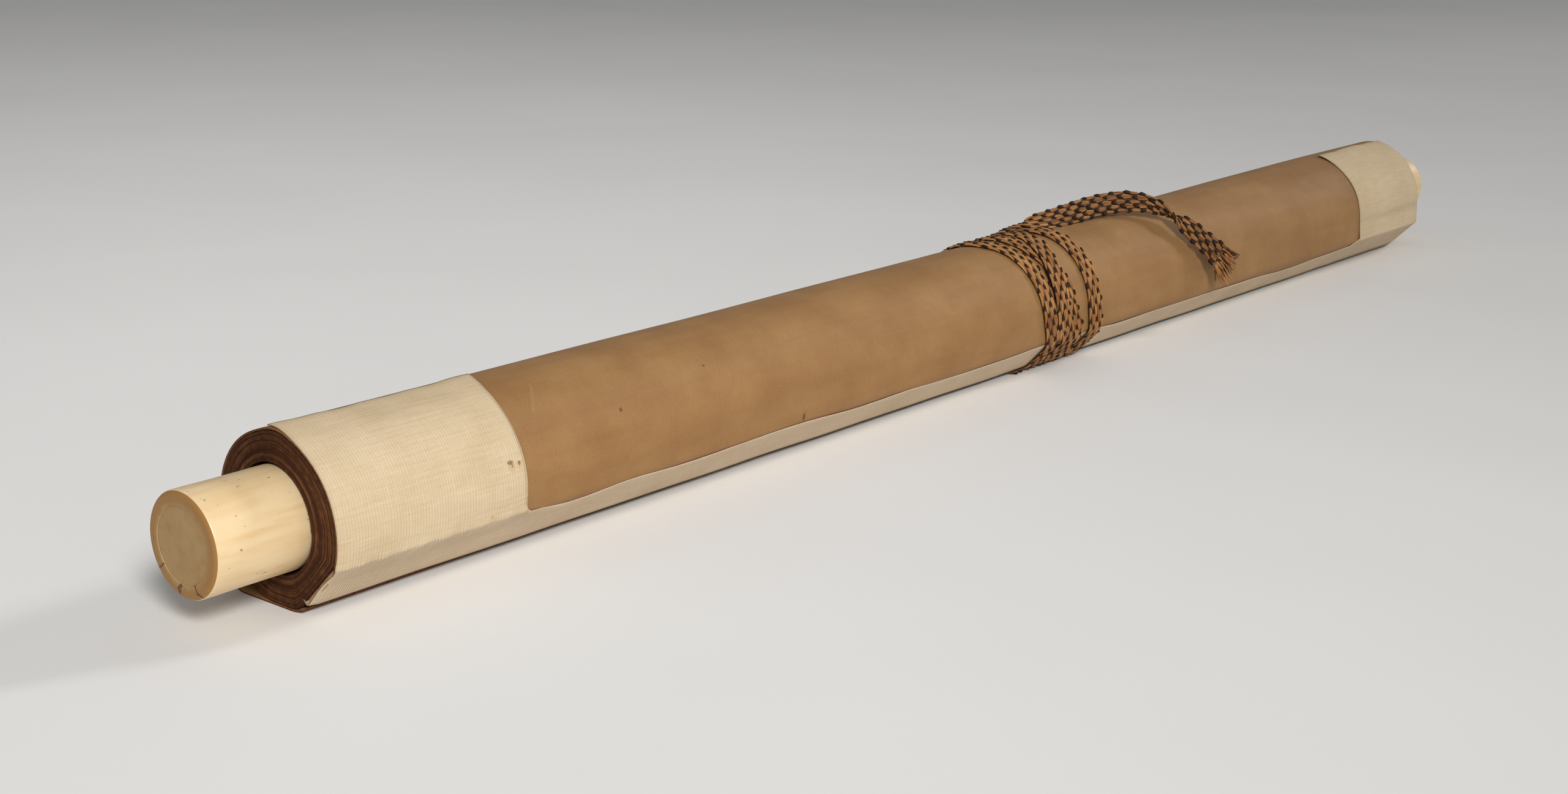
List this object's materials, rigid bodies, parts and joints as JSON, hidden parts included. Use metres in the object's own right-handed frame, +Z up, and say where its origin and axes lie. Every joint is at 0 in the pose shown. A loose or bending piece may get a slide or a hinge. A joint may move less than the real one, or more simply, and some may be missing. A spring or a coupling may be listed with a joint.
{
  "type": "paper scroll",
  "caption": "Rolled paper scroll with bone roller knobs, a brown silk cover framed in cream cloth, and a flat tie cord wound round its middle.",
  "frame": {"origin": "on the table under the roll's centre line, midway between the two ends of the wound roll", "axes": "+X along the roll from the left knob to the right one, -Y towards the front with the cloth strip, +Z up"},
  "size_m": [0.638, 0.0531, 0.0507],
  "materials": {
    "wound_paper": "matte, edges of many thin dark brown turns",
    "brown_silk": "fine golden-brown silk, slight sheen",
    "cream_cloth": "ribbed matte cloth",
    "wood": "plain planed wood",
    "bone": null,
    "bone_plug": null,
    "tie_cord": "flat braid, golden tan with dark marks"
  },
  "bodies": {
    "root": {"scroll_roll": "wound_paper", "cover_sheet": "brown_silk", "cover_border": "cream_cloth", "stave": "wood", "roller": "wood", "left_knob": "bone", "right_knob": "bone", "left_knob_plug": "bone_plug", "right_knob_plug": "bone_plug", "tie_cord_coil": "tie_cord", "tie_cord_turn": "tie_cord", "tie_cord_tail": "tie_cord"}
  },
  "joints": []
}
